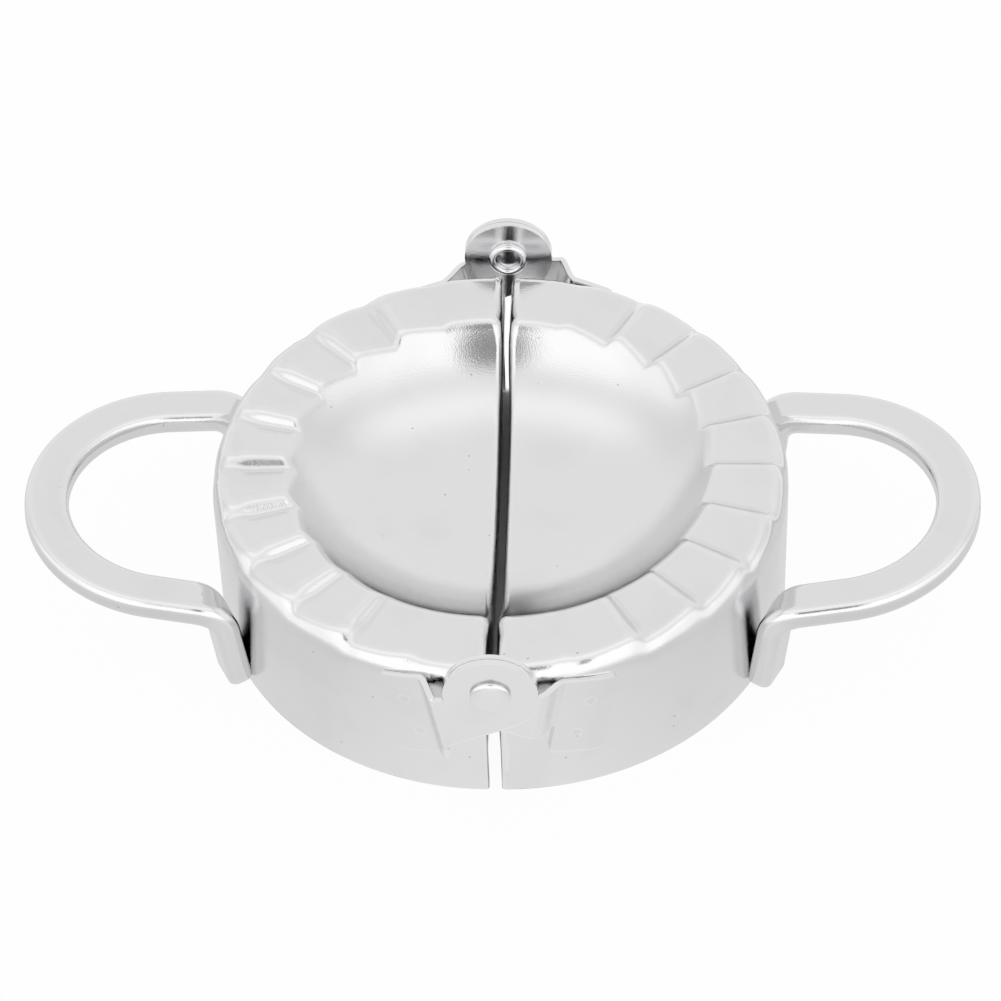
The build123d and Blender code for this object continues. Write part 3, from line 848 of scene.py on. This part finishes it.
def studio_world():
    """The studio's light by direction, which the camera itself sees as plain white."""
    world = bpy.data.worlds.new("studio")
    world.use_nodes = True
    tree = world.node_tree
    way = add_node(tree, "ShaderNodeTexCoord").outputs["Generated"]
    axis = parts(tree, way)
    across = add_node(tree, "ShaderNodeVectorMath", {0: way, 1: front_axis},
                      operation="DOT_PRODUCT").outputs["Value"]
    bands = add_node(tree, "ShaderNodeValToRGB", {"Fac": across})
    brightest = max(front_stops.values())
    ramp = bands.color_ramp.elements
    for place, value in front_stops.items():
        stop = {0.0: ramp[0], 1.0: ramp[-1]}.get(place) or ramp.new(place)
        stop.color = (value / brightest,) * 3 + (1,)
    front = math(tree, "MULTIPLY", bands.outputs["Color"], brightest)
    level = add_node(tree, "ShaderNodeMix", {
        "Factor": between(tree, axis["Y"], *front_reach), 2: wall_level, 3: front},
        data_type="FLOAT").outputs[0]
    side = between(tree, math(tree, "ABSOLUTE", axis["X"]), *side_reach, 1.0, 1 - side_shade)
    facing = add_node(tree, "ShaderNodeVectorMath", {0: way, 1: tuple(back)},
                      operation="DOT_PRODUCT").outputs["Value"]
    shade = between(tree, facing, camera_from, camera_to, 1.0, camera_level)
    light = math(tree, "MULTIPLY", math(tree, "MULTIPLY", level, side), shade)
    is_camera = add_node(tree, "ShaderNodeLightPath").outputs["Is Camera Ray"]
    seen = add_node(tree, "ShaderNodeMix", {"Factor": is_camera, 2: light, 3: 1.0},
                    data_type="FLOAT").outputs[0]
    tree.links.new(seen, tree.nodes["Background"].inputs["Strength"])
    tree.nodes["Background"].inputs["Color"].default_value = (1, 1, 1, 1)
    bpy.context.scene.world = world


studio_world()

floor_half = 3.0             # half its width, in metres
floor_paint = 0.8
floor_glow = 0.96            # share of plain white where the floor is seen as white
glow_edge = (0.96, 1.0)      # the white begins between these distances from the middle
glow_front = (-0.58, -0.66)  # or between these towards the front, in shell radii
mirror_width = (0.2, 1.3)    # between these to each side, in shell radii,
mirror_level = (0.91, 0.74)  # mirrored white falls from one level to the other,
far_reach = (0.05, 0.4)      # and between these distances, in metres,
far_gain = 0.3               # it rises again by this


def white_floor():
    """The floor: paint that takes the shadow, seen as such under the press, and almost
    plain white round it and under its front, for the camera and in reflections."""
    mesh = bpy.data.meshes.new("floor")
    corners = [(-1, -1, 0), (1, -1, 0), (1, 1, 0), (-1, 1, 0)]
    mesh.from_pydata((floor_half * np.array(corners)).tolist(), [], [(0, 1, 2, 3)])
    floor = bpy.data.objects.new("floor", mesh)
    bpy.context.scene.collection.objects.link(floor)
    paint = bpy.data.materials.new("floor_paint")
    paint.use_nodes = True
    tree = paint.node_tree
    shader = tree.nodes["Principled BSDF"]
    shader.inputs["Base Color"].default_value = (floor_paint,) * 3 + (1,)
    shader.inputs["Roughness"].default_value = 0.9

    edge, front, width = (np.array(pair) * shell_r * mm
                          for pair in (glow_edge, glow_front, mirror_width))
    place = object_place(tree)
    axis = parts(tree, place)
    reach = add_node(tree, "ShaderNodeVectorMath", {0: place},
                     operation="LENGTH").outputs["Value"]
    outside = math(tree, "MAXIMUM", between(tree, reach, *edge),
                   between(tree, axis["Y"], *front))
    ray = add_node(tree, "ShaderNodeLightPath").outputs
    seen = math(tree, "MAXIMUM", ray["Is Camera Ray"], ray["Is Glossy Ray"])
    share = math(tree, "MULTIPLY", math(tree, "MULTIPLY", seen, outside), floor_glow)

    aside = math(tree, "ABSOLUTE", axis["X"])
    mirrored = add_node(tree, "ShaderNodeMapRange", {
        "Value": aside, "From Min": width[0], "From Max": width[1],
        "To Min": mirror_level[0], "To Max": mirror_level[1]}).outputs["Result"]
    mirrored = math(tree, "ADD", mirrored, between(tree, reach, *far_reach, 0.0, far_gain))
    strength = add_node(tree, "ShaderNodeMix", {
        "Factor": ray["Is Camera Ray"], 2: mirrored, 3: 1.0}, data_type="FLOAT").outputs[0]
    glow = add_node(tree, "ShaderNodeEmission", {"Color": (1, 1, 1, 1), "Strength": strength})
    mixed = add_node(tree, "ShaderNodeMixShader", {0: share, 1: shader.outputs["BSDF"],
                                                   2: glow.outputs["Emission"]})
    tree.links.new(mixed.outputs["Shader"], tree.nodes["Material Output"].inputs["Surface"])
    mesh.materials.append(paint)


white_floor()

distance = 0.700
focal_px = 4197.9            # focal length and frame, both in pixels
frame_px = 1001
look = np.array([0, 0, 15]) * mm
side_shift, rise_shift = np.array([-0.21, 2.81]) * mm
level_right = np.array([np.cos(azimuth), np.sin(azimuth), 0])
level_up = np.cross(back, level_right)
right = np.cos(roll) * level_right + np.sin(roll) * level_up
up = -np.sin(roll) * level_right + np.cos(roll) * level_up
eye = look + side_shift * right + rise_shift * up + distance * back
lens = bpy.data.cameras.new("camera")
lens.sensor_width = 36
lens.lens = focal_px / frame_px * lens.sensor_width
lens.clip_start = 0.01
camera = bpy.data.objects.new("camera", lens)
camera.matrix_world = Matrix([[right[i], up[i], back[i], eye[i]] for i in range(3)]
                             + [[0, 0, 0, 1]])
bpy.context.scene.collection.objects.link(camera)
bpy.context.scene.camera = camera
bpy.context.scene.view_settings.view_transform = "Standard"
